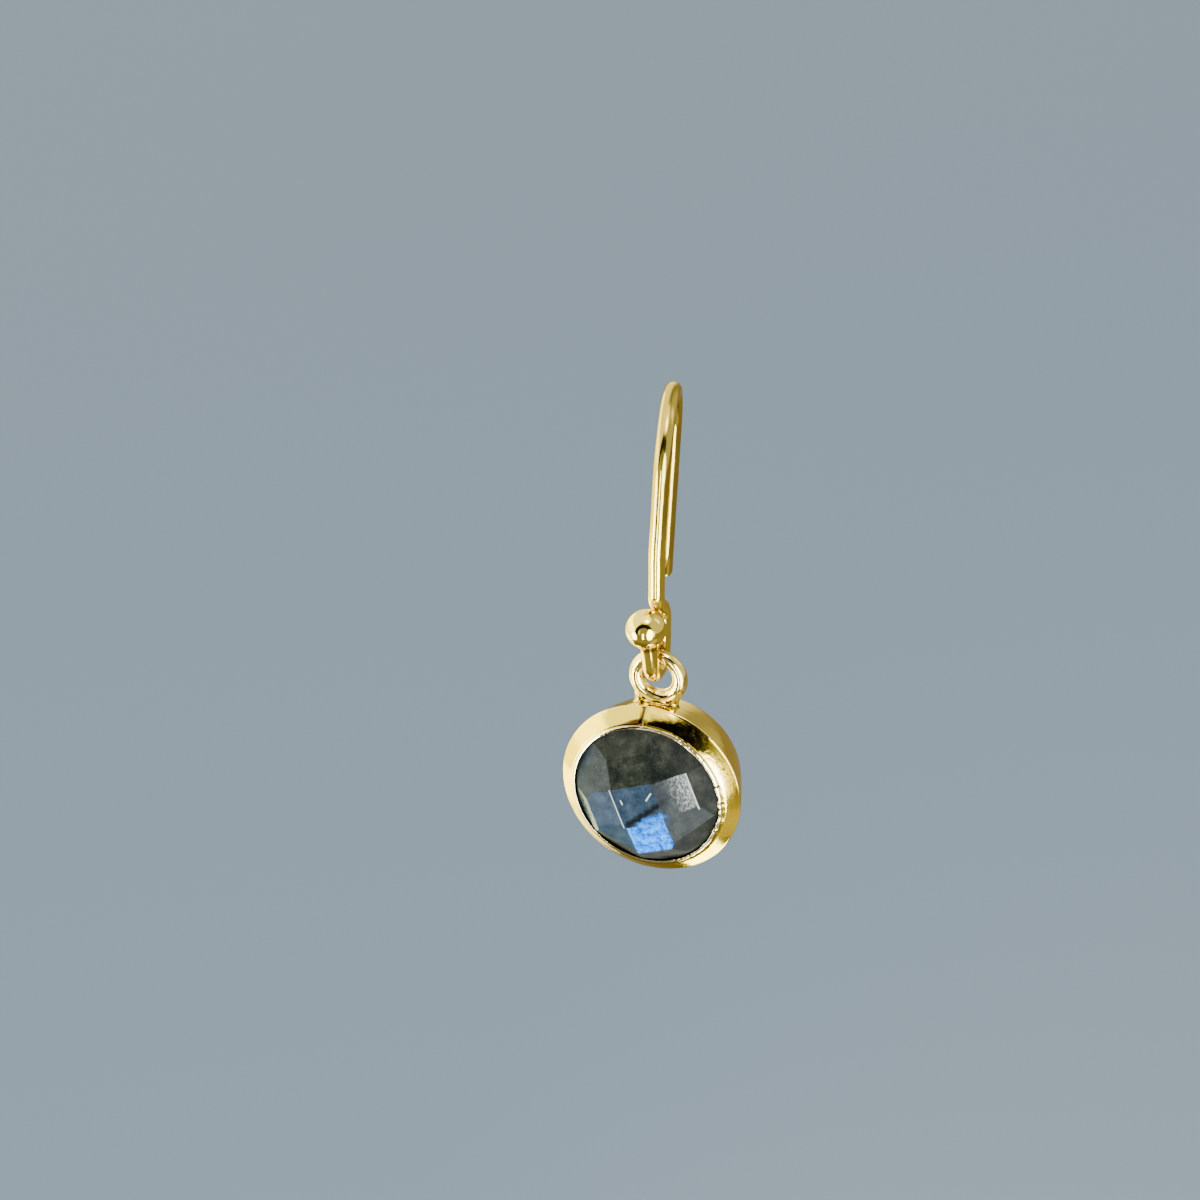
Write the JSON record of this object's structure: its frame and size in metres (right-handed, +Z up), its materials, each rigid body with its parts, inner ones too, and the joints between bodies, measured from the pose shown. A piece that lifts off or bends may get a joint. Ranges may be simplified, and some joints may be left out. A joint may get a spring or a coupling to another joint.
{
  "type": "dangle earring",
  "caption": "French-hook dangle earring with a ball-tipped wire and a swinging round bezel pendant that holds a checkerboard-cut grey-blue stone.",
  "frame": {"origin": "underside of the hook's arch at its top, where the wire hangs in the ear hole", "axes": "+Z up, -Y the way the pendant's stone faces, +X to the right of someone who looks at the stone"},
  "size_m": [0.012, 0.012, 0.0314],
  "materials": {
    "gold": "polished yellow gold plating",
    "labradorite": "polished facets with a blue flash"
  },
  "bodies": {
    "hook": {"ear_hook": "gold"},
    "pendant": {"bezel": "gold", "stone": "labradorite"}
  },
  "joints": [
    {"name": "pendant_swing", "type": "hinge", "parent": "hook", "child": "pendant", "pos_m": [0.00055, -0.00376, -0.01557], "axis": [1, 0, 0], "range_deg": [-60, 60]}
  ]
}
